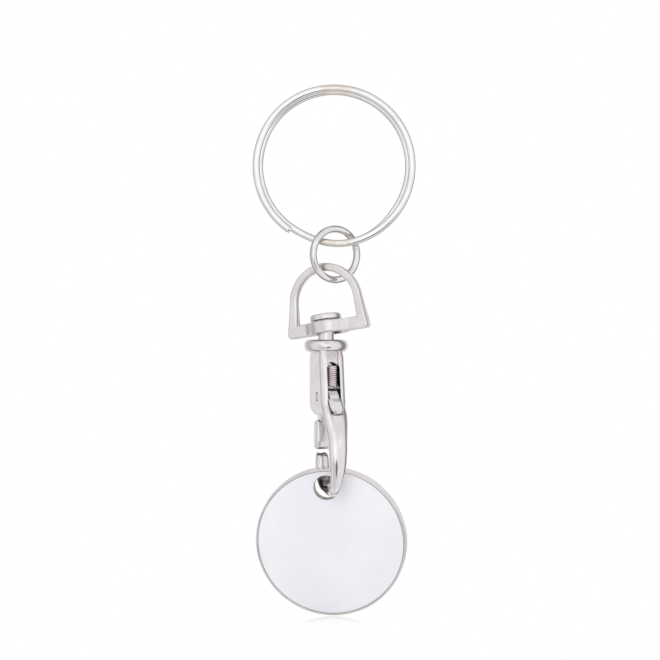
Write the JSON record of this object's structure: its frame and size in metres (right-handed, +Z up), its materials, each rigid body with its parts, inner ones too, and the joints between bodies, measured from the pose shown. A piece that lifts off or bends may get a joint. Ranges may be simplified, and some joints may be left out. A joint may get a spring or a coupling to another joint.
{
  "type": "trolley token keyring",
  "caption": "Coin shaped trolley token hung by its hole on a small swivel snap hook, with a jump ring and a split ring for keys.",
  "frame": {"origin": "the point inside the top of the split ring where a nail or finger holds it", "axes": "+Z up along the hanging keyring, -Y towards the viewer of the picture, +X to the viewer's right; the split ring lies in the XZ plane"},
  "size_m": [0.025, 0.0104, 0.0815],
  "materials": {
    "split_ring": "bright polished nickel plate",
    "jump_ring": "bright polished nickel plate",
    "swivel_loop": "bright nickel plate on a cast loop",
    "swivel_rivet": "bright polished nickel plate",
    "hook_body": "bright nickel plate on a cast hook",
    "gate_lever": "bright nickel plate on a cast lever",
    "pivot_pin": "plain steel",
    "gate_spring": "plain spring wire",
    "coin_blank": "bright polished nickel plate",
    "front_inlay": "white satin, slightly blue",
    "back_inlay": "white satin, slightly blue"
  },
  "bodies": {
    "split_ring_body": {"split_ring": "split_ring"},
    "jump_ring_body": {"jump_ring": "jump_ring"},
    "loop_body": {"swivel_loop": "swivel_loop"},
    "hook": {"hook_body": "hook_body", "swivel_rivet": "swivel_rivet", "pivot_pin": "pivot_pin", "gate_spring": "gate_spring"},
    "gate": {"gate_lever": "gate_lever"},
    "token": {"coin_blank": "coin_blank", "front_inlay": "front_inlay", "back_inlay": "back_inlay"}
  },
  "joints": [
    {"name": "ring_travel", "type": "hinge", "parent": "split_ring_body", "child": "jump_ring_body", "pos_m": [0, 0, -0.0109], "axis": [0, 1, 0], "continuous": true},
    {"name": "loop_swing", "type": "hinge", "parent": "jump_ring_body", "child": "loop_body", "pos_m": [-0.00176, -0.00004, -0.02704], "axis": [0.9029, -0.4045, 0.1457], "range_deg": [-40, 18]},
    {"name": "hook_swivel", "type": "hinge", "parent": "loop_body", "child": "hook", "pos_m": [-0.00078, -0.00095, -0.03562], "axis": [-0.1126, 0.1045, 0.9881], "continuous": true},
    {"name": "gate_pivot", "type": "hinge", "parent": "hook", "child": "gate", "pos_m": [-0.00079, -0.00213, -0.0462], "axis": [-0.9397, -0.342, 0], "range_deg": [0, 22], "stiffness_Nm_per_rad": 0.002, "springref_deg": -22.92, "deforming": ["gate_spring"]},
    {"name": "coin_swing", "type": "hinge", "parent": "hook", "child": "token", "pos_m": [-0.0007, -0.00239, -0.06018], "axis": [-0.1401, -0.9654, -0.2201], "range_deg": [-45, 45]}
  ]
}
